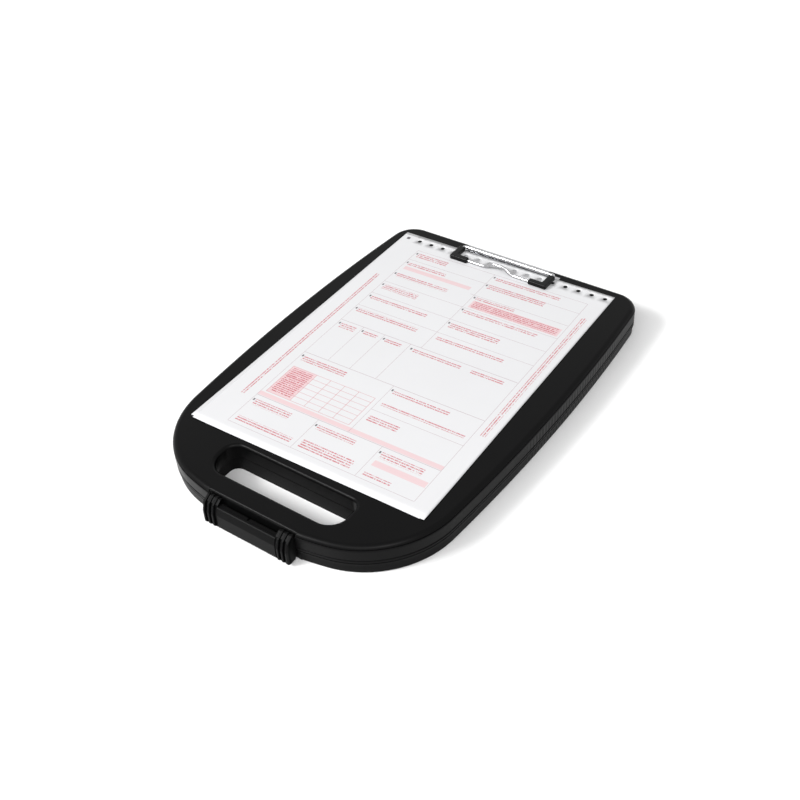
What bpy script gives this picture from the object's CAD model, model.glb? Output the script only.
from math import atan2, cos, hypot, pi, radians, sin, sqrt

import bmesh
import bpy
from mathutils import Matrix, Vector


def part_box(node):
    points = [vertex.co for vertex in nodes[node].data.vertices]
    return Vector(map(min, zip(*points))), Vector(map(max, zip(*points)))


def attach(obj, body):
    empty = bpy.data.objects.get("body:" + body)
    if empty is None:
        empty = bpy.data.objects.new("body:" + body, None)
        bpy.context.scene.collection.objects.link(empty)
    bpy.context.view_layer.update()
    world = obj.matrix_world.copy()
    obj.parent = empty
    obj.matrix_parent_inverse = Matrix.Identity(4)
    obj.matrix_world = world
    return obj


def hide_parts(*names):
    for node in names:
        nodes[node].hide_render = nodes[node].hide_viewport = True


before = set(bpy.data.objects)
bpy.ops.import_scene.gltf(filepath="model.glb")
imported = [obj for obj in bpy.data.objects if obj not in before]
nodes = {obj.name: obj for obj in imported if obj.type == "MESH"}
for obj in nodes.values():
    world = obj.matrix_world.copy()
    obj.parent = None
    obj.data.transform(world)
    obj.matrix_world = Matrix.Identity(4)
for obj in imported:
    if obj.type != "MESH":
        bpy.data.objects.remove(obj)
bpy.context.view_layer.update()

# Camera. It stands in front of the box, to its right and above it, and is rolled a
# little, as the photograph's own perspective gives it.
azimuth, elevation, roll = radians(38.078), radians(40.570), radians(4.329)
camera_place = (0.42932, -0.55069, 0.59342)
camera_back = Vector((
    sin(azimuth) * cos(elevation), -cos(azimuth) * cos(elevation), sin(elevation),
))
level_right = (-camera_back).cross(Vector((0, 0, 1))).normalized()
level_down = (-camera_back).cross(level_right)
camera_right = cos(roll) * level_right + sin(roll) * level_down
camera_up = sin(roll) * level_right - cos(roll) * level_down
camera_data = bpy.data.cameras.new("camera")
camera_data.sensor_width = 36.0
camera_data.lens = 49.847
camera_data.clip_start = 0.01
camera = bpy.data.objects.new("camera", camera_data)
bpy.context.scene.collection.objects.link(camera)
camera_turn = Matrix((camera_right, camera_up, camera_back)).transposed().to_4x4()
camera.matrix_world = Matrix.Translation(camera_place) @ camera_turn
bpy.context.scene.camera = camera


# Studio. A plain white floor under a dim room, with a wide softbox far in front and above
# and two smaller ones beside it. The room looks white to the camera and in reflections.
def mesh_object(name, bm):
    mesh = bpy.data.meshes.new(name)
    bm.to_mesh(mesh)
    bm.free()
    obj = bpy.data.objects.new(name, mesh)
    bpy.context.scene.collection.objects.link(obj)
    return obj


floor_bm = bmesh.new()
bmesh.ops.create_grid(floor_bm, x_segments=4, y_segments=4, size=4.0)
floor_obj = mesh_object("floor", floor_bm)
floor_mat = bpy.data.materials.new("floor_paper")
floor_mat.use_nodes = True
floor_shader = floor_mat.node_tree.nodes["Principled BSDF"]
floor_shader.inputs["Base Color"].default_value = (0.98, 0.98, 0.98, 1.0)
floor_shader.inputs["Roughness"].default_value = 0.9
floor_shader.inputs["Specular IOR Level"].default_value = 0.1
floor_obj.data.materials.append(floor_mat)

world = bpy.data.worlds.new("studio")
bpy.context.scene.world = world
world.use_nodes = True
world_tree = world.node_tree
world_tree.nodes.clear()
world_path = world_tree.nodes.new("ShaderNodeLightPath")


def world_white(strength):
    white = world_tree.nodes.new("ShaderNodeBackground")
    white.inputs["Color"].default_value = (1.0, 1.0, 1.0, 1.0)
    white.inputs["Strength"].default_value = strength
    return white.outputs["Background"]


def world_choice(ray, others, chosen):
    choice = world_tree.nodes.new("ShaderNodeMixShader")
    world_tree.links.new(world_path.outputs[ray], choice.inputs["Fac"])
    world_tree.links.new(others, choice.inputs[1])
    world_tree.links.new(chosen, choice.inputs[2])
    return choice.outputs["Shader"]


room_strength, mirror_strength, seen_strength = 0.40, 0.95, 1.0
world_look = world_choice("Is Glossy Ray", world_white(room_strength), world_white(mirror_strength))
world_look = world_choice("Is Camera Ray", world_look, world_white(seen_strength))
world_out = world_tree.nodes.new("ShaderNodeOutputWorld")
world_tree.links.new(world_look, world_out.inputs["Surface"])

for light_name, light_place, length, width, watts in (
    ("softbox_wide", (-0.4, -3.5, 3.6), 8.0, 2.0, 165.0),
    ("softbox_left", (-2.35, -3.2, 3.0), 1.5, 1.1, 165.0),
    ("softbox_right", (2.55, -1.95, 3.7), 1.3, 1.3, 65.0),
):
    light_data = bpy.data.lights.new(light_name, "AREA")
    light_data.shape = "RECTANGLE"
    light_data.size = length
    light_data.size_y = width
    light_data.energy = watts
    light = bpy.data.objects.new(light_name, light_data)
    bpy.context.scene.collection.objects.link(light)
    light.location = light_place
    light.rotation_euler = (-Vector(light_place)).to_track_quat("-Z", "Y").to_euler()

bpy.context.scene.view_settings.view_transform = "Standard"


# Node group: the look of a moulded surface, used by every black plastic. It gives a
# colour factor with soft clouds, a roughness value and the height of a fine spark-eroded grain.
def surface_group(name, inputs, outputs):
    group = bpy.data.node_groups.new(name, "ShaderNodeTree")
    for way, socket_names in (("INPUT", inputs), ("OUTPUT", outputs)):
        for socket_name in socket_names:
            kind = "NodeSocketVector" if socket_name == "Place" else "NodeSocketFloat"
            group.interface.new_socket(socket_name, in_out=way, socket_type=kind)
    return group


def tree_math(tree, operation, *values, clamp=False):
    node = tree.nodes.new("ShaderNodeMath")
    node.operation = operation
    node.use_clamp = clamp
    for socket, value in zip(node.inputs, values):
        if isinstance(value, float):
            socket.default_value = value
        else:
            tree.links.new(value, socket)
    return node.outputs["Value"]


moulded = surface_group(
    "moulded_surface", ("Grain Size", "Base Roughness"), ("Cloud", "Roughness", "Height"),
)
moulded_in = moulded.nodes.new("NodeGroupInput")
moulded_out = moulded.nodes.new("NodeGroupOutput")
moulded_place = moulded.nodes.new("ShaderNodeTexCoord")
moulded_cloud = moulded.nodes.new("ShaderNodeTexNoise")
moulded_cloud.inputs["Scale"].default_value = 22.0
moulded_cloud.inputs["Detail"].default_value = 4.0
moulded_grain = moulded.nodes.new("ShaderNodeTexVoronoi")
moulded_fine = moulded.nodes.new("ShaderNodeTexNoise")
moulded_fine.inputs["Detail"].default_value = 2.0
for texture in (moulded_cloud, moulded_grain, moulded_fine):
    moulded.links.new(moulded_place.outputs["Object"], texture.inputs["Vector"])
for texture in (moulded_grain, moulded_fine):
    moulded.links.new(moulded_in.outputs["Grain Size"], texture.inputs["Scale"])
cloud_roughness = 0.10
moulded_rough = tree_math(
    moulded, "MULTIPLY_ADD",
    moulded_cloud.outputs["Fac"], cloud_roughness, moulded_in.outputs["Base Roughness"],
)
moulded_height = tree_math(
    moulded, "ADD", moulded_grain.outputs["Distance"], moulded_fine.outputs["Fac"],
)
moulded.links.new(moulded_cloud.outputs["Fac"], moulded_out.inputs["Cloud"])
moulded.links.new(moulded_rough, moulded_out.inputs["Roughness"])
moulded.links.new(moulded_height, moulded_out.inputs["Height"])

# Node group: the faint upright ribs along the middle of both side walls, which give the
# fingers a hold. It adds them to a grain height where the wall faces sideways.
rib_pitch, rib_height = 0.0046, 3.5
rib_wall_x, rib_top_z = 0.1268, 0.0222
rib_mid_y, rib_half_l, rib_end_slope = 0.058, 0.080, 100.0
ribs = surface_group("side_ribs", ("Grain",), ("Height",))
ribs_in = ribs.nodes.new("NodeGroupInput")
ribs_out = ribs.nodes.new("NodeGroupOutput")
ribs_place = ribs.nodes.new("ShaderNodeTexCoord")
ribs_split = ribs.nodes.new("ShaderNodeSeparateXYZ")
ribs.links.new(ribs_place.outputs["Object"], ribs_split.inputs["Vector"])
ribs_x, ribs_y, ribs_z = ribs_split.outputs
ribs_wave = tree_math(ribs, "SINE", tree_math(ribs, "MULTIPLY", ribs_y, 2 * pi / rib_pitch))
ribs_side = tree_math(ribs, "GREATER_THAN", tree_math(ribs, "ABSOLUTE", ribs_x), rib_wall_x)
ribs_off_mid = tree_math(ribs, "ABSOLUTE", tree_math(ribs, "SUBTRACT", ribs_y, rib_mid_y))
ribs_ends = tree_math(
    ribs, "MULTIPLY", tree_math(ribs, "SUBTRACT", rib_half_l, ribs_off_mid), rib_end_slope, clamp=True,
)
ribs_low = tree_math(ribs, "LESS_THAN", ribs_z, rib_top_z)
ribs_mask = tree_math(ribs, "MULTIPLY", tree_math(ribs, "MULTIPLY", ribs_side, ribs_low), ribs_ends)
ribs_lift = tree_math(ribs, "MULTIPLY", tree_math(ribs, "MULTIPLY", ribs_wave, ribs_mask), rib_height)
ribs.links.new(tree_math(ribs, "ADD", ribs_lift, ribs_in.outputs["Grain"]), ribs_out.inputs["Height"])

# Lid. A black moulded shell with a rounded top edge, a fine trim groove, the flared
# mouth of the handle slot, a recess for the clip and the upper hinge knuckles.
mm = 0.001
half_w, half_l = 130.5, 188.3
seam_z, lid_top, lid_fillet, lid_slot_flare = 13.5, 27.0, 4.8, 3.0
side_r, side_bow, back_r, shoulder_r, front_r = 1700.0, 29.0, 22.0, 79.0, 282.0
bay_half_w, bay_front, bay_back, bay_flare = 40.8, -200.0, -183.8, 2.6
pocket_half_w, pocket_front, pocket_back = 43.3, -184.3, -181.3
hinge_x, hinge_y, hinge_z, knuckle_r, web_front = 70.0, 191.6, 13.5, 3.0, 187.0
lid_knuckle_l, clip_gap, collar_top, lid_web_top = 28.0, 0.2, 25.2, 16.5


def shell_points(inset):
    side_c = Vector((half_w - side_r, side_bow))
    back_c = Vector((
        side_c.x + sqrt((side_r - back_r) ** 2 - (half_l - back_r - side_bow) ** 2),
        half_l - back_r,
    ))
    front_c = Vector((0.0, front_r - half_l))
    between = front_c - side_c
    a_rad, b_rad, dist = side_r - shoulder_r, front_r - shoulder_r, between.length
    along = (a_rad ** 2 - b_rad ** 2 + dist ** 2) / (2 * dist)
    across = sqrt(a_rad ** 2 - along ** 2)
    unit = between / dist
    shoulder_c = side_c + along * unit + across * Vector((unit.y, -unit.x))
    back_a = atan2(back_c.y - side_c.y, back_c.x - side_c.x)
    side_a = atan2(shoulder_c.y - side_c.y, shoulder_c.x - side_c.x)
    front_a = atan2(shoulder_c.y - front_c.y, shoulder_c.x - front_c.x)
    half = []
    for centre, r, start, end, steps in (
        (back_c, back_r - inset, pi / 2, back_a, 16),
        (side_c, side_r - inset, back_a, side_a, 30),
        (shoulder_c, shoulder_r - inset, side_a, front_a, 30),
        (front_c, front_r - inset, front_a, -pi / 2, 14),
    ):
        for i in range(steps):
            a = start + (end - start) * i / steps
            half.append((centre.x + r * cos(a), centre.y + r * sin(a)))
    left = [(-x, y) for x, y in reversed(half)]
    return half + [(0.0, inset - half_l)] + left


def slot_points(corners, grow):
    points = []
    for (x, y, r), start in zip(corners, (-90, 0, 90, 180)):
        for i in range(13):
            a = radians(start + 7.5 * i)
            points.append((x + (r + grow) * cos(a), y + (r + grow) * sin(a)))
    return points


def shell_solid(name, rings):
    bm = bmesh.new()
    loops = [[bm.verts.new((x * mm, y * mm, z * mm)) for x, y in points] for points, z in rings]
    for low, high in zip(loops, loops[1:]):
        n = len(low)
        for i in range(n):
            bm.faces.new((low[i], low[(i + 1) % n], high[(i + 1) % n], high[i]))
    bm.faces.new(list(reversed(loops[0])))
    bm.faces.new(loops[-1])
    bmesh.ops.recalc_face_normals(bm, faces=bm.faces)
    return mesh_object(name, bm)


def shell_block(name, low, high):
    corners = [(low[0], low[1]), (high[0], low[1]), (high[0], high[1]), (low[0], high[1])]
    return shell_solid(name, [(corners, low[2]), (corners, high[2])])


def add_rod(bm, place, r, length, segments):
    spot = Matrix.Translation([value * mm for value in place]) @ Matrix.Rotation(pi / 2, 4, "Y")
    bmesh.ops.create_cone(
        bm, cap_ends=True, segments=segments, radius1=r * mm, radius2=r * mm,
        depth=length * mm, matrix=spot,
    )


def shell_rod(name, place, r, length, segments):
    bm = bmesh.new()
    add_rod(bm, place, r, length, segments)
    return mesh_object(name, bm)


def soften(obj, sharp_deg, keep_sharp=True, weight=50):
    for polygon in obj.data.polygons:
        polygon.use_smooth = True
    obj.data.set_sharp_from_angle(angle=radians(sharp_deg))
    weighted = obj.modifiers.new("weighted", "WEIGHTED_NORMAL")
    weighted.keep_sharp = keep_sharp
    weighted.weight = weight


def shell_cut(obj, cutters):
    for cutter, how in cutters:
        cut = obj.modifiers.new("cut", "BOOLEAN")
        cut.object = cutter
        cut.operation = how
        cut.solver = "EXACT"
    shaped = obj.evaluated_get(bpy.context.evaluated_depsgraph_get())
    mesh = bpy.data.meshes.new_from_object(shaped)
    obj.modifiers.clear()
    obj.data = mesh
    mesh.name = obj.name
    mesh.materials.clear()
    for cutter, how in cutters:
        bpy.data.objects.remove(cutter)
    soften(obj, sharp_deg=38, weight=80)


def surface_material(
    name, group, group_values, shader_values, tones, bump_strength, bump_depth, ribbed=False,
):
    material = bpy.data.materials.new(name)
    material.use_nodes = True
    tree = material.node_tree
    shader = tree.nodes["Principled BSDF"]
    for socket_name, value in shader_values.items():
        shader.inputs[socket_name].default_value = value
    look = tree.nodes.new("ShaderNodeGroup")
    look.node_tree = group
    for socket_name, value in group_values.items():
        look.inputs[socket_name].default_value = value
    tint = tree.nodes.new("ShaderNodeMix")
    tint.data_type = "RGBA"
    for socket_name, tone in zip("AB", tones):
        tint.inputs[socket_name].default_value = (*tone, 1.0)
    height = look.outputs["Height"]
    if ribbed:
        rib_look = tree.nodes.new("ShaderNodeGroup")
        rib_look.node_tree = ribs
        tree.links.new(height, rib_look.inputs["Grain"])
        height = rib_look.outputs["Height"]
    bump = tree.nodes.new("ShaderNodeBump")
    bump.inputs["Strength"].default_value = bump_strength
    bump.inputs["Distance"].default_value = bump_depth
    tree.links.new(look.outputs[0], tint.inputs["Factor"])
    tree.links.new(tint.outputs["Result"], shader.inputs["Base Color"])
    if "Roughness" in look.outputs:
        tree.links.new(look.outputs["Roughness"], shader.inputs["Roughness"])
    tree.links.new(height, bump.inputs["Height"])
    tree.links.new(bump.outputs["Normal"], shader.inputs["Normal"])
    return material


def fillet_ring(degrees):
    a = radians(degrees)
    return shell_points(lid_fillet * (1 - cos(a))), lid_top - lid_fillet * (1 - sin(a))


lid_rings = [(shell_points(inset), z) for inset, z in (
    (0.7, seam_z), (0.6, seam_z + 0.35), (0.0, seam_z + 0.7), (0.0, 20.0),
)]
lid_rings += [fillet_ring(degrees) for degrees in (0, 6, 12)]
lid_rings += [(shell_points(inset), z) for inset, z in (
    (0.19, 23.55), (0.34, 23.68), (0.92, 23.75), (0.96, 24.25), (0.62, 24.32), (0.56, 24.45),
)]
lid_rings += [fillet_ring(degrees) for degrees in range(34, 91, 7)]
lid_obj = shell_solid("lid", lid_rings)

lid_cavity = shell_solid("lid_cavity", [(shell_points(inset), z) for inset, z in (
    (2.5, seam_z - 2), (2.5, 23.4), (3.0, 24.3), (3.8, 24.6),
)])
lid_corners = ((46.5, -151.0, 15.5), (54.0, -144.0, 8.0), (-48.5, -147.0, 11.0), (-44.0, -151.0, 15.5))
lid_slot_rings = [(0.0, seam_z - 2), (0.0, lid_top - lid_slot_flare)]
for degrees in (12, 24, 36, 48, 60, 72, 82):
    a = radians(degrees)
    lid_slot_rings.append((lid_slot_flare * (1 - cos(a)), lid_top - lid_slot_flare + lid_slot_flare * sin(a)))
lid_slot_rings.append((lid_slot_flare, lid_top + 1.0))
lid_slot = shell_solid("lid_slot", [(slot_points(lid_corners, grow), z) for grow, z in lid_slot_rings])
lid_collar = shell_solid("lid_collar", [(slot_points(lid_corners, 2.6), z) for z in (seam_z, collar_top)])
lid_pocket = shell_block(
    "lid_pocket", (-pocket_half_w, pocket_front, seam_z), (pocket_half_w, pocket_back, collar_top),
)
bay_turn_z = lid_top - bay_flare
bay_rings = [(0, seam_z - 2), (0, bay_turn_z)]
for degrees in (15, 30, 45, 60, 75, 88):
    bay_rings.append((degrees, bay_turn_z + bay_flare * sin(radians(degrees))))
bay_rings.append((88, lid_top + 3.0))
lid_bay_loops = []
for degrees, z in bay_rings:
    flare = bay_flare * (1 - cos(radians(degrees)))
    bay_x, bay_y = bay_half_w + flare, bay_back + flare
    lid_bay_loops.append(([(-bay_x, bay_front), (bay_x, bay_front), (bay_x, bay_y), (-bay_x, bay_y)], z))
lid_bay = shell_solid("lid_bay", lid_bay_loops)
clip_low, clip_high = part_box("clip_plate")
lid_recess = shell_block(
    "lid_recess",
    (clip_low[0] / mm - clip_gap, clip_low[1] / mm - clip_gap, lid_top - 1.0),
    (clip_high[0] / mm + clip_gap, clip_high[1] / mm + clip_gap, lid_top + 2.0),
)
lid_cutters = [
    (lid_cavity, "DIFFERENCE"), (lid_collar, "UNION"), (lid_pocket, "UNION"), (lid_slot, "DIFFERENCE"),
    (lid_bay, "DIFFERENCE"), (lid_recess, "DIFFERENCE"),
]
for side in (-1, 1):
    x = side * hinge_x
    knuckle = shell_rod("lid_knuckle", (x, hinge_y, hinge_z), knuckle_r, lid_knuckle_l, 40)
    web = shell_block(
        "lid_web", (x - lid_knuckle_l / 2, web_front, seam_z + 0.2),
        (x + lid_knuckle_l / 2, hinge_y, lid_web_top),
    )
    lid_cutters += [(knuckle, "UNION"), (web, "UNION")]
shell_cut(lid_obj, lid_cutters)
lid_obj.data.materials.append(surface_material(
    "lid_plastic", moulded, {"Grain Size": 1500.0, "Base Roughness": 0.27}, {"Specular IOR Level": 0.07},
    ((0.0022, 0.0022, 0.0023), (0.0034, 0.0034, 0.0035)), 0.16, 0.0001, ribbed=True,
))
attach(lid_obj, "lid")
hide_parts("lid_shell")

# Tray. The black moulded lower shell: a stepped rim, a slightly smaller body with a
# rounded bottom edge, a locating lip, the slot's collar, hinge knuckles and latch lugs.
tray_edge_r, tray_body_in, tray_foot_z, tray_clear_z = 1.6, 0.9, 0.6, 18.0
tray_knuckle_l, tray_knuckle_off, tray_web_low, tray_web_top = 14.0, 21.3, 10.5, 13.3
latch_y, latch_z, lug_x, lug_r, lug_l = -190.2, 6.4, 21.0, 2.6, 6.0
tray_rings = []
for degrees in (90, 72, 54, 36, 18, 0):
    a = radians(degrees)
    tray_rings.append((shell_points(tray_body_in + tray_edge_r * (1 - cos(a))), tray_edge_r * (1 - sin(a))))
tray_rings += [(shell_points(inset), z) for inset, z in (
    (tray_body_in, 6.5), (tray_body_in, 8.7), (0.75, 8.9), (0.15, 9.0), (0.0, 9.2), (0.0, 10.45),
    (0.45, 10.6), (0.45, 11.0), (0.0, 11.15), (0.0, 12.8), (0.6, 13.15), (0.7, seam_z),
)]
tray_obj = shell_solid("tray", tray_rings)
tray_lip = shell_solid("tray_lip", [(shell_points(inset), z) for inset, z in (
    (2.9, 11.0), (2.9, 16.1), (3.2, 16.5),
)])
tray_cavity = shell_solid("tray_cavity", [(shell_points(inset), z) for inset, z in (
    (5.4, 2.4), (4.4, 3.4), (4.4, tray_clear_z),
)])
tray_corners = ((46.0, -152.5, 16.0), (54.0, -144.2, 8.0), (-53.8, -144.2, 8.0), (-45.8, -152.5, 16.0))
tray_collar = shell_solid("tray_collar", [(slot_points(tray_corners, 2.2), z) for z in (tray_foot_z, seam_z)])
tray_slot = shell_solid("tray_slot", [(slot_points(tray_corners, 0.0), z) for z in (-1.0, tray_clear_z)])
tray_pocket = shell_block(
    "tray_pocket", (-pocket_half_w, pocket_front, tray_foot_z), (pocket_half_w, pocket_back, seam_z),
)
tray_bay = shell_block("tray_bay", (-bay_half_w, bay_front, -1.0), (bay_half_w, bay_back, tray_clear_z))
tray_lip_gap = shell_block(
    "tray_lip_gap", (-pocket_half_w - 1.0, -189.0, seam_z), (pocket_half_w + 1.0, -180.3, tray_clear_z),
)
tray_cutters = [
    (tray_lip, "UNION"), (tray_cavity, "DIFFERENCE"), (tray_collar, "UNION"), (tray_pocket, "UNION"),
    (tray_slot, "DIFFERENCE"), (tray_bay, "DIFFERENCE"), (tray_lip_gap, "DIFFERENCE"),
]
for side in (-1, 1):
    for end in (-1, 1):
        x = side * hinge_x + end * tray_knuckle_off
        knuckle = shell_rod("tray_knuckle", (x, hinge_y, hinge_z), knuckle_r, tray_knuckle_l, 40)
        web = shell_block(
            "tray_web", (x - tray_knuckle_l / 2, web_front, tray_web_low),
            (x + tray_knuckle_l / 2, hinge_y, tray_web_top),
        )
        tray_cutters += [(knuckle, "UNION"), (web, "UNION")]
    lug = shell_rod("tray_lug", (side * lug_x, latch_y, latch_z), lug_r, lug_l, 32)
    arm = shell_block(
        "tray_arm", (side * lug_x - lug_l / 2, latch_y, 3.8), (side * lug_x + lug_l / 2, -182.5, 9.0),
    )
    tray_cutters += [(lug, "UNION"), (arm, "UNION")]
shell_cut(tray_obj, tray_cutters)
tray_obj.data.materials.append(surface_material(
    "tray_plastic", moulded, {"Grain Size": 1300.0, "Base Roughness": 0.30}, {"Specular IOR Level": 0.06},
    ((0.0022, 0.0022, 0.0023), (0.0032, 0.0032, 0.0033)), 0.2, 0.0001, ribbed=True,
))
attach(tray_obj, "tray")
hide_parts("base_tray")

# Latch. A moulded black snap cover in front of the handle: three raised ridges at each
# end, a lower plain panel with a notched shelf between them, and a hollow hinged foot.
latch_front, latch_back, latch_inner = -195.0, -184.8, -191.7
panel_half, notch_half, latch_half, cheek_inner = 27.6, 0.7, 40.0, 38.2
ridge_first, ridge_step, ridge_half, ridge_count = 39.0, 4.1, 0.95, 3
latch_bm = bmesh.new()


def latch_prism(section, x0, x1, edge):
    x0, x1 = min(x0, x1), max(x0, x1)
    ends = [[latch_bm.verts.new((x * mm, y * mm, z * mm)) for y, z in section] for x in (x0, x1)]
    n = len(section)
    faces = [latch_bm.faces.new(list(reversed(ends[0]))), latch_bm.faces.new(ends[1])]
    for i in range(n):
        corners = (ends[0][i], ends[0][(i + 1) % n], ends[1][(i + 1) % n], ends[1][i])
        faces.append(latch_bm.faces.new(corners))
    bmesh.ops.recalc_face_normals(latch_bm, faces=faces)
    edges = list({e for f in faces for e in f.edges})
    bmesh.ops.bevel(
        latch_bm, geom=edges, offset=edge * mm, offset_type="OFFSET", segments=2,
        profile=0.5, affect="EDGES", material=-1, clamp_overlap=True,
    )


def latch_section(set_in):
    front = latch_front + set_in
    return [
        (-193.5, 2.0), (front, 3.5), (front + 0.3, 14.5), (front + 2.7, 22.0),
        (-186.5, 25.6 - set_in / 2), (latch_back, 25.6 - set_in / 2), (latch_back, 24.0), (-186.6, 23.7),
        (-189.6, 20.8), (latch_inner, 14.5), (latch_inner, 2.0),
    ]


latch_panel = [
    (-193.5, 2.0), (-193.8, 3.5), (-193.5, 14.5), (-191.7, 20.3), (-190.9, 20.9), (-189.0, 20.9),
    (-189.2, 19.4), (-191.7, 14.5), (-191.9, 10.2), (-192.9, 9.6), (-192.9, 2.0),
]
latch_shelf = [(-189.4, 19.5), (-189.4, 21.2), (-186.7, 21.2), (-186.7, 19.5)]
latch_cheek = [
    (-193.5, 2.0), (-193.8, 3.5), (-193.5, 14.5), (-191.1, 22.0), (-186.5, 25.0), (latch_back, 25.0),
    (latch_back, 6.4), (-186.8, 2.0),
]
latch_prism(latch_panel, -panel_half, panel_half, 0.2)
for side in (-1, 1):
    latch_prism(latch_shelf, side * notch_half, side * (panel_half - 0.1), 0.25)
    latch_prism(latch_section(1.9), side * (panel_half - 0.2), side * latch_half, 0.2)
    for i in range(ridge_count):
        middle = side * (ridge_first - ridge_step * i)
        latch_prism(latch_section(0.0), middle - ridge_half, middle + ridge_half, 0.4)
    latch_prism(latch_cheek, side * cheek_inner, side * latch_half, 0.2)
for x0, x1 in ((-38.5, -24.4), (-17.6, 17.6), (24.4, 38.5)):
    add_rod(latch_bm, ((x0 + x1) / 2, latch_y, latch_z), lug_r, x1 - x0, 32)
latch_obj = mesh_object("latch_cover", latch_bm)
soften(latch_obj, sharp_deg=40)
latch_obj.data.materials.append(surface_material(
    "latch_plastic", moulded, {"Grain Size": 1800.0, "Base Roughness": 0.34}, {"Specular IOR Level": 0.055},
    ((0.0020, 0.0020, 0.0021), (0.0030, 0.0030, 0.0031)), 0.1, 0.0001,
))
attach(latch_obj, "latch")
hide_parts("latch")

# Grips. Two black moulded sleeves pushed over the corners of the bail, L-shaped, with
# soft edges where the mould closes.
grip_arm_w, grip_bar_w, grip_edge = 0.006, 0.0052, 0.0010
grip_mat = surface_material(
    "grip_plastic", moulded, {"Grain Size": 2200.0, "Base Roughness": 0.22}, {"Specular IOR Level": 0.14},
    ((0.0030, 0.0030, 0.0032), (0.0045, 0.0045, 0.0047)), 0.08, 0.0001,
)
for side, node_name in ((-1, "grip_left"), (1, "grip_right")):
    low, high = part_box(node_name)
    x_out, x_in = (high[0], low[0]) if side > 0 else (low[0], high[0])
    x_arm = x_out - side * grip_arm_w
    y_front, y_bar, y_back = low[1], low[1] + grip_bar_w, high[1]
    corners = [
        (x_out, y_front), (x_out, y_back), (x_arm, y_back), (x_arm, y_bar), (x_in, y_bar), (x_in, y_front),
    ]
    grip_bm = bmesh.new()
    grip_face = grip_bm.faces.new([grip_bm.verts.new((x, y, low[2])) for x, y in corners])
    lifted = bmesh.ops.extrude_face_region(grip_bm, geom=[grip_face])["geom"]
    lifted_verts = [v for v in lifted if isinstance(v, bmesh.types.BMVert)]
    bmesh.ops.translate(grip_bm, vec=(0.0, 0.0, high[2] - low[2]), verts=lifted_verts)
    bmesh.ops.recalc_face_normals(grip_bm, faces=grip_bm.faces)
    bmesh.ops.bevel(
        grip_bm, geom=list(grip_bm.edges), offset=grip_edge, offset_type="OFFSET", segments=4,
        profile=0.5, affect="EDGES", material=-1, clamp_overlap=True,
    )
    grip_obj = mesh_object("sleeve_" + node_name, grip_bm)
    soften(grip_obj, sharp_deg=50, keep_sharp=False)
    grip_obj.data.materials.append(grip_mat)
    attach(grip_obj, "bail")
    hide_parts(node_name)

# Bail. One length of chromed spring wire: its ends sit in the barrel, its arms run
# forward through the sleeves, and its front bar rises in the middle to lift it by.
bail_low, bail_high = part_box("bail_wire")
bail_mid = (bail_low[0] + bail_high[0]) / 2
bail_r, bail_set_in, barrel_r, bail_sides, bend_steps = 0.0015, 0.00152, 0.0025, 20, 8
bail_end_x, bail_arm_x, hump_foot_x, hump_top_x = 0.0305, 0.0470, 0.0130, 0.0060
bail_axis_y, bail_axis_z = clip_high[1] - barrel_r, clip_high[2] - barrel_r
bail_bar_y, bail_bar_z = bail_low[1] + bail_set_in, bail_low[2] + bail_set_in
bail_top_z = bail_high[2] - bail_set_in
half_path = [
    (bail_end_x, bail_axis_y, bail_axis_z, 0.0), (bail_arm_x, bail_axis_y, bail_axis_z, 0.0022),
    (bail_arm_x, bail_bar_y, bail_bar_z, 0.0022), (hump_foot_x, bail_bar_y, bail_bar_z, 0.0032),
    (hump_top_x, bail_bar_y, bail_top_z, 0.0030),
]
bail_corners = [(Vector((bail_mid - x, y, z)), bend) for x, y, z, bend in half_path]
bail_corners += [(Vector((bail_mid + x, y, z)), bend) for x, y, z, bend in reversed(half_path)]
bail_path = []
for i, (corner, bend) in enumerate(bail_corners):
    if bend == 0.0:
        bail_path.append(corner)
        continue
    start = corner + (bail_corners[i - 1][0] - corner).normalized() * bend
    end = corner + (bail_corners[i + 1][0] - corner).normalized() * bend
    for k in range(bend_steps + 1):
        t = k / bend_steps
        bail_path.append(start * (1 - t) ** 2 + corner * 2 * t * (1 - t) + end * t ** 2)
bail_bm = bmesh.new()
bail_rings = []
ring_angles = [2 * pi * k / bail_sides for k in range(bail_sides)]
across = Vector((0.0, 0.0, 1.0))
for i, point in enumerate(bail_path):
    ahead = bail_path[min(i + 1, len(bail_path) - 1)] - bail_path[max(i - 1, 0)]
    ahead.normalize()
    across = (across - ahead * across.dot(ahead)).normalized()
    other = ahead.cross(across)
    bail_rings.append([
        bail_bm.verts.new(point + bail_r * (cos(a) * across + sin(a) * other)) for a in ring_angles
    ])
for ring_a, ring_b in zip(bail_rings, bail_rings[1:]):
    for k in range(bail_sides):
        after = (k + 1) % bail_sides
        bail_bm.faces.new((ring_a[k], ring_a[after], ring_b[after], ring_b[k]))
bail_bm.faces.new(list(reversed(bail_rings[0])))
bail_bm.faces.new(bail_rings[-1])
bmesh.ops.recalc_face_normals(bail_bm, faces=bail_bm.faces)
bail_obj = mesh_object("bail", bail_bm)
for polygon in bail_obj.data.polygons:
    polygon.use_smooth = True
bail_obj.data.set_sharp_from_angle(angle=radians(60))
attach(bail_obj, "bail")
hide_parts("bail_wire")

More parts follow.
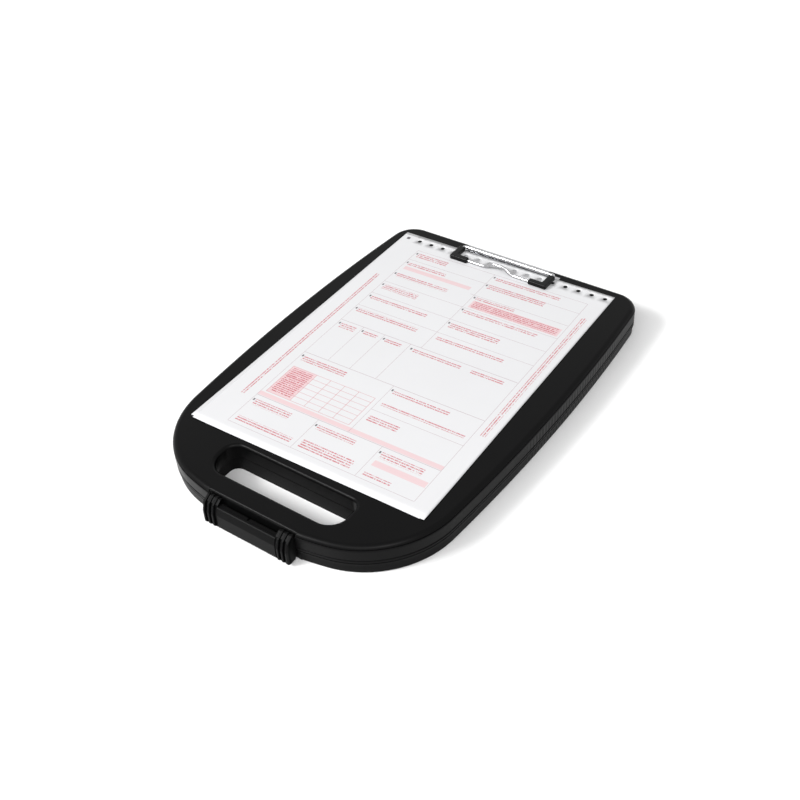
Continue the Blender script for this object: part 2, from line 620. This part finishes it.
# Node group: polished or drawn metal. It gives a tint factor, a roughness value and the
# height of fine lines that run along X, as drawing and polishing leave them.
metal = surface_group(
    "metal_surface", ("Line Scale", "Base Roughness"), ("Tint", "Roughness", "Height"),
)
metal_in = metal.nodes.new("NodeGroupInput")
metal_out = metal.nodes.new("NodeGroupOutput")
metal_place = metal.nodes.new("ShaderNodeTexCoord")
metal_map = metal.nodes.new("ShaderNodeMapping")
metal_map.inputs["Scale"].default_value = (0.06, 1.0, 1.0)
metal_lines = metal.nodes.new("ShaderNodeTexNoise")
metal_lines.inputs["Detail"].default_value = 3.0
metal_cloud = metal.nodes.new("ShaderNodeTexNoise")
metal_cloud.inputs["Scale"].default_value = 90.0
line_roughness = 0.12
metal.links.new(metal_place.outputs["Object"], metal_map.inputs["Vector"])
metal.links.new(metal_map.outputs["Vector"], metal_lines.inputs["Vector"])
metal.links.new(metal_in.outputs["Line Scale"], metal_lines.inputs["Scale"])
metal.links.new(metal_place.outputs["Object"], metal_cloud.inputs["Vector"])
metal_rough = tree_math(
    metal, "MULTIPLY_ADD", metal_lines.outputs["Fac"], line_roughness, metal_in.outputs["Base Roughness"],
)
metal.links.new(metal_cloud.outputs["Fac"], metal_out.inputs["Tint"])
metal.links.new(metal_rough, metal_out.inputs["Roughness"])
metal.links.new(metal_lines.outputs["Fac"], metal_out.inputs["Height"])

# Metal parts. The clip's plate and its rolled barrel and the bail are chromed steel; the
# pins are drawn steel, the rivets and washers are zinc plated and the spring is darker wire.
for metal_name, users, dark, pale, line_scale, roughness in (
    ("clip_chrome", ("clip_plate", "bail"), (0.40, 0.40, 0.41), (0.55, 0.55, 0.56), 900.0, 0.05),
    (
        "pin_steel", ("hinge_pin_left", "hinge_pin_right", "latch_pin"),
        (0.42, 0.42, 0.43), (0.55, 0.55, 0.56), 1400.0, 0.24,
    ),
    ("rivet_steel", ("clip_rivets", "rivet_washers"), (0.45, 0.46, 0.48), (0.58, 0.59, 0.60), 600.0, 0.32),
    ("spring_steel", ("torsion_spring",), (0.22, 0.22, 0.23), (0.33, 0.33, 0.34), 2000.0, 0.28),
):
    metal_mat = surface_material(
        metal_name, metal, {"Line Scale": line_scale, "Base Roughness": roughness}, {"Metallic": 1.0},
        (dark, pale), 0.05, 0.00005,
    )
    for user in users:
        target = nodes.get(user) or bpy.data.objects[user]
        target.data.materials.clear()
        target.data.materials.append(metal_mat)

# Sheets. Two sheets of form paper, punched along the top edge and laid on the lid. The
# lower one is turned a little less, so that it shows at the lower left, and its holes are
# moved under the upper one's.
sheet_w, sheet_l, sheet_t = 215.9, 304.8, 0.12
hole_pitch, hole_r, hole_places = 12.7, 2.0, 17
cell_steps, sheet_rows, uv_unit, weld_gap = 6, 40, 100.0, 0.01
wave_lift, left_curl, right_curl, right_share = 0.10, 0.22, 0.16, 0.8


def sheet_ring(bm, cell, hole_shift, hole_slope):
    step, half = hole_pitch / cell_steps, hole_pitch / 2
    x0 = cell * hole_pitch
    border = [(i, 0) for i in range(cell_steps)] + [(cell_steps, j) for j in range(cell_steps)]
    border += [(cell_steps - i, cell_steps - j) for i, j in border]
    hole_x = x0 + half + hole_shift[0]
    hole_y = half + hole_shift[1] + hole_slope * (x0 + half - sheet_w / 2)
    outer = [bm.verts.new((x0 + i * step, j * step, 0)) for i, j in border]
    angles = [atan2(j * step - half, i * step - half) for i, j in border]
    inner = [bm.verts.new((hole_x + hole_r * cos(a), hole_y + hole_r * sin(a), 0)) for a in angles]
    n = len(border)
    for k in range(n):
        after = (k + 1) % n
        bm.faces.new((outer[k], outer[after], inner[after], inner[k]))


def sheet_grid(bm, y0, columns, rows, step, row_h):
    grid = []
    for j in range(rows + 1):
        grid.append([bm.verts.new((i * step, y0 + j * row_h, 0)) for i in range(columns + 1)])
    for j in range(rows):
        for i in range(columns):
            bm.faces.new((grid[j][i], grid[j][i + 1], grid[j + 1][i + 1], grid[j + 1][i]))


def sheet_piece(name, turn, shift, height, corner_lift, hole_shift=(0.0, 0.0), hole_slope=0.0):
    bm = bmesh.new()
    step = hole_pitch / cell_steps
    sheet_grid(bm, 0.0, cell_steps, cell_steps, step, step)
    for cell in range(1, hole_places):
        sheet_ring(bm, cell, hole_shift, hole_slope)
    row_h = (sheet_l - hole_pitch) / sheet_rows
    sheet_grid(bm, hole_pitch, hole_places * cell_steps, sheet_rows, step, row_h)
    bmesh.ops.remove_doubles(bm, verts=bm.verts, dist=weld_gap)
    uv = bm.loops.layers.uv.new("sheet")
    for face in bm.faces:
        for loop in face.loops:
            loop[uv].uv = (loop.vert.co.x / uv_unit, loop.vert.co.y / uv_unit)
    cos_turn, sin_turn = cos(radians(turn)), sin(radians(turn))
    for vert in bm.verts:
        x, y = vert.co.x, vert.co.y
        u, v = x / sheet_w, y / sheet_l
        wave = sin(5.0 * u + 1.7 * v + turn) * sin(7.0 * v + 0.6)
        lift = wave_lift * wave ** 2 * min(1.0, v * 6)
        lift += corner_lift * max(0.0, 1 - hypot(u, 1 - v) / left_curl) ** 2
        lift += corner_lift * right_share * max(0.0, 1 - hypot(1 - u, 1 - v) / right_curl) ** 2
        x_mid, y_mid = x - sheet_w / 2, sheet_l / 2 - y
        vert.co = Vector((
            (shift[0] + x_mid * cos_turn - y_mid * sin_turn) * mm,
            (shift[1] + x_mid * sin_turn + y_mid * cos_turn) * mm,
            (height + lift) * mm,
        ))
    bmesh.ops.recalc_face_normals(bm, faces=bm.faces)
    if sum(f.normal.z for f in bm.faces) < 0:
        bmesh.ops.reverse_faces(bm, faces=bm.faces)
    obj = mesh_object(name, bm)
    for polygon in obj.data.polygons:
        polygon.use_smooth = True
    thick = obj.modifiers.new("thickness", "SOLIDIFY")
    thick.thickness = sheet_t * mm
    thick.offset = -1.0
    return obj


form_obj = sheet_piece("form_top_sheet", 1.5, (-1.75, 22.85), 27.36, 0.5)
under_obj = sheet_piece(
    "form_under_sheet", 0.9, (-3.7, 23.75), 27.14, 0.2, hole_shift=(0.41, 0.94), hole_slope=-0.01047,
)

fibre = surface_group("paper_fibre", (), ("Tone", "Height"))
fibre_out = fibre.nodes.new("NodeGroupOutput")
fibre_place = fibre.nodes.new("ShaderNodeTexCoord")
for scale, detail, output_name in ((14.0, 5.0, "Tone"), (1600.0, 3.0, "Height")):
    fibre_noise = fibre.nodes.new("ShaderNodeTexNoise")
    fibre_noise.inputs["Scale"].default_value = scale
    fibre_noise.inputs["Detail"].default_value = detail
    fibre.links.new(fibre_place.outputs["Object"], fibre_noise.inputs["Vector"])
    fibre.links.new(fibre_noise.outputs["Fac"], fibre_out.inputs[output_name])

area_edges = ("Left", "Right", "Top", "Bottom")
print_area = surface_group("print_area", ("Place", *area_edges), ("Mask",))
area_in = print_area.nodes.new("NodeGroupInput")
area_out = print_area.nodes.new("NodeGroupOutput")
area_split = print_area.nodes.new("ShaderNodeSeparateXYZ")
print_area.links.new(area_in.outputs["Place"], area_split.inputs["Vector"])
area_mask = 1.0
for axis, operation, edge in zip("XXYY", ("GREATER_THAN", "LESS_THAN") * 2, area_edges):
    inside = tree_math(print_area, operation, area_split.outputs[axis], area_in.outputs[edge])
    area_mask = tree_math(print_area, "MULTIPLY", inside, area_mask)
print_area.links.new(area_mask, area_out.inputs["Mask"])

form_mat = surface_material(
    "form_paper", fibre, {}, {"Roughness": 0.72, "Specular IOR Level": 0.1},
    ((0.64, 0.64, 0.65), (0.68, 0.68, 0.69)), 0.06, 0.00005,
)
form_tree = form_mat.node_tree
form_shader = form_tree.nodes["Principled BSDF"]
form_uv = form_tree.nodes.new("ShaderNodeUVMap")
form_uv.uv_map = "sheet"
form_mm = form_tree.nodes.new("ShaderNodeVectorMath")
form_mm.operation = "SCALE"
form_mm.inputs["Scale"].default_value = uv_unit
form_tree.links.new(form_uv.outputs["UV"], form_mm.inputs[0])


def form_area(*edges):
    area = form_tree.nodes.new("ShaderNodeGroup")
    area.node_tree = print_area
    for edge, value in zip(area_edges, edges):
        area.inputs[edge].default_value = value
    form_tree.links.new(form_mm.outputs["Vector"], area.inputs["Place"])
    return area.outputs["Mask"]


def form_areas(boxes):
    masks = [form_area(*box) for box in boxes]
    while len(masks) > 1:
        pairs = zip(masks[0::2], masks[1::2])
        left_over = masks[len(masks) - 1:] if len(masks) % 2 else []
        masks = [tree_math(form_tree, "MAXIMUM", a, b) for a, b in pairs] + left_over
    return masks[0]


def form_words(upright, row, word):
    row_offset, row_share, letter_level = 7.31, 0.50, 0.46
    split = form_tree.nodes.new("ShaderNodeSeparateXYZ")
    form_tree.links.new(form_mm.outputs["Vector"], split.inputs["Vector"])
    run, rise = (split.outputs[axis] for axis in ("YX" if upright else "XY"))
    rows = tree_math(form_tree, "DIVIDE", rise, row)
    row_seed = tree_math(form_tree, "MULTIPLY", tree_math(form_tree, "FLOOR", rows), row_offset)
    joined = form_tree.nodes.new("ShaderNodeCombineXYZ")
    form_tree.links.new(tree_math(form_tree, "MULTIPLY", run, word), joined.inputs["X"])
    form_tree.links.new(row_seed, joined.inputs["Y"])
    letters = form_tree.nodes.new("ShaderNodeTexNoise")
    letters.inputs["Scale"].default_value = 1.0
    letters.inputs["Detail"].default_value = 3.0
    letters.inputs["Roughness"].default_value = 0.8
    form_tree.links.new(joined.outputs["Vector"], letters.inputs["Vector"])
    in_row = tree_math(form_tree, "LESS_THAN", tree_math(form_tree, "FRACT", rows), row_share)
    in_letter = tree_math(form_tree, "GREATER_THAN", letters.outputs["Fac"], letter_level)
    return tree_math(form_tree, "MULTIPLY", in_row, in_letter)


# The print's boxes are given as left, right, top and bottom in millimetres from the
# sheet's upper left corner.
form_captions = [
    (30, 62, 24, 31), (112, 176, 23, 28), (30, 70, 40, 45), (112, 168, 36, 43), (112, 150, 58, 62),
    (30, 84, 60, 65), (30, 66, 80, 87), (112, 184, 78, 83), (30, 88, 100, 105), (112, 160, 100, 107),
    (112, 176, 122, 127), (30, 92, 121, 126), (30, 46, 146, 153), (54, 68, 146, 151), (76, 92, 146, 151),
    (104, 150, 146, 151), (160, 190, 146, 151), (30, 74, 198, 205), (120, 172, 198, 203),
    (120, 196, 216, 219), (120, 148, 232, 239), (30, 66, 262, 269), (30, 84, 284, 290),
    (92, 128, 262, 267), (92, 140, 280, 290), (152, 190, 262, 269), (152, 176, 286, 290),
]
form_rules = [
    (26, 200, 36.0, 36.3), (26, 200, 76.0, 76.3), (26, 104, 96.0, 96.3), (26, 200, 117.0, 117.3),
    (104, 200, 56.0, 56.3), (104, 200, 96.0, 96.3), (26, 200, 142.0, 142.4), (26, 200, 194.0, 194.4),
    (26, 200, 257.0, 257.4), (26, 200, 293.0, 293.3), (108.0, 108.3, 20, 142), (50.0, 50.3, 142, 194),
    (72.0, 72.3, 142, 194), (98.0, 98.3, 142, 194), (116.0, 116.3, 194, 257), (88.0, 88.3, 257, 293),
    (148.0, 148.3, 257, 293), (26.0, 26.3, 20, 293), (200.0, 200.3, 20, 293), (26, 200, 20.0, 20.3),
    (116, 200, 226.0, 226.3),
]
form_table = [(30, 112, 214 + 6 * i, 214.35 + 6 * i) for i in range(7)]
form_table += [(30 + x, 30.4 + x, 214, 250) for x in (0, 24, 38, 52, 66, 81.6)]
form_fills = [
    (112, 198, 63, 74), (30, 100, 47, 52), (30, 54, 214, 250), (152, 199, 272, 278),
    (26, 200, 252, 256.5),
]
form_marks = [
    (27.5, 29, 24, 26.4), (109.5, 111, 23, 25.4), (27.5, 29, 40, 42.4), (109.5, 111, 36.8, 39.2),
    (27.5, 29, 60, 62.4), (109.5, 111, 58, 60.4), (27.5, 29, 80, 82.4), (109.5, 111, 78, 80.4),
    (27.5, 29, 100, 102.4), (109.5, 111, 100, 102.4), (27.5, 29, 121, 123.4), (27.5, 29, 146, 148.4),
    (51.5, 53, 146, 148.4), (73.5, 75, 146, 148.4), (101, 102.6, 146, 148.4), (27.5, 29, 198, 200.4),
    (117.5, 119, 198, 200.4), (27.5, 29, 262, 264.4), (89.5, 91, 262, 264.4), (149.5, 151, 262, 264.4),
    (4.6, 8, 4.6, 8),
]
form_text = tree_math(form_tree, "MULTIPLY", form_areas(form_captions), form_words(False, 2.4, 1.1))
form_margins = [(13.0, 17.4, 70.0, 262.0), (205.0, 209.4, 40.0, 210.0)]
form_margin_text = tree_math(form_tree, "MULTIPLY", form_areas(form_margins), form_words(True, 2.2, 1.0))
form_blocks = [(114.0, 196.0, 64.0, 73.0), (32.0, 52.0, 216.0, 248.0)]
form_block_text = tree_math(form_tree, "MULTIPLY", form_areas(form_blocks), form_words(False, 2.2, 1.3))
form_ink = form_shader.inputs["Base Color"].links[0].from_socket
for mask, strength, ink in (
    (form_areas(form_fills), 0.40, (0.72, 0.32, 0.34)),
    (form_areas(form_rules), 0.75, (0.36, 0.24, 0.27)),
    (form_areas(form_table), 0.75, (0.52, 0.15, 0.18)),
    (tree_math(form_tree, "MAXIMUM", form_text, form_margin_text), 0.85, (0.50, 0.10, 0.13)),
    (form_block_text, 0.85, (0.46, 0.07, 0.10)),
    (form_areas(form_marks), 0.85, (0.05, 0.04, 0.05)),
):
    form_mix = form_tree.nodes.new("ShaderNodeMix")
    form_mix.data_type = "RGBA"
    form_mix.inputs["B"].default_value = (*ink, 1.0)
    form_tree.links.new(tree_math(form_tree, "MULTIPLY", mask, strength), form_mix.inputs["Factor"])
    form_tree.links.new(form_ink, form_mix.inputs["A"])
    form_ink = form_mix.outputs["Result"]
form_tree.links.new(form_ink, form_shader.inputs["Base Color"])
form_obj.data.materials.append(form_mat)
under_obj.data.materials.append(surface_material(
    "plain_paper", fibre, {}, {"Roughness": 0.75, "Specular IOR Level": 0.1},
    ((0.60, 0.60, 0.61), (0.64, 0.64, 0.65)), 0.06, 0.00005,
))
for paper_obj, node_name, slot_name, below in (
    (form_obj, "form_sheet", "form_paper", "form_under_sheet"),
    (under_obj, "under_sheet", "plain_paper", "lid"),
):
    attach(paper_obj, "lid")
    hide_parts(node_name)
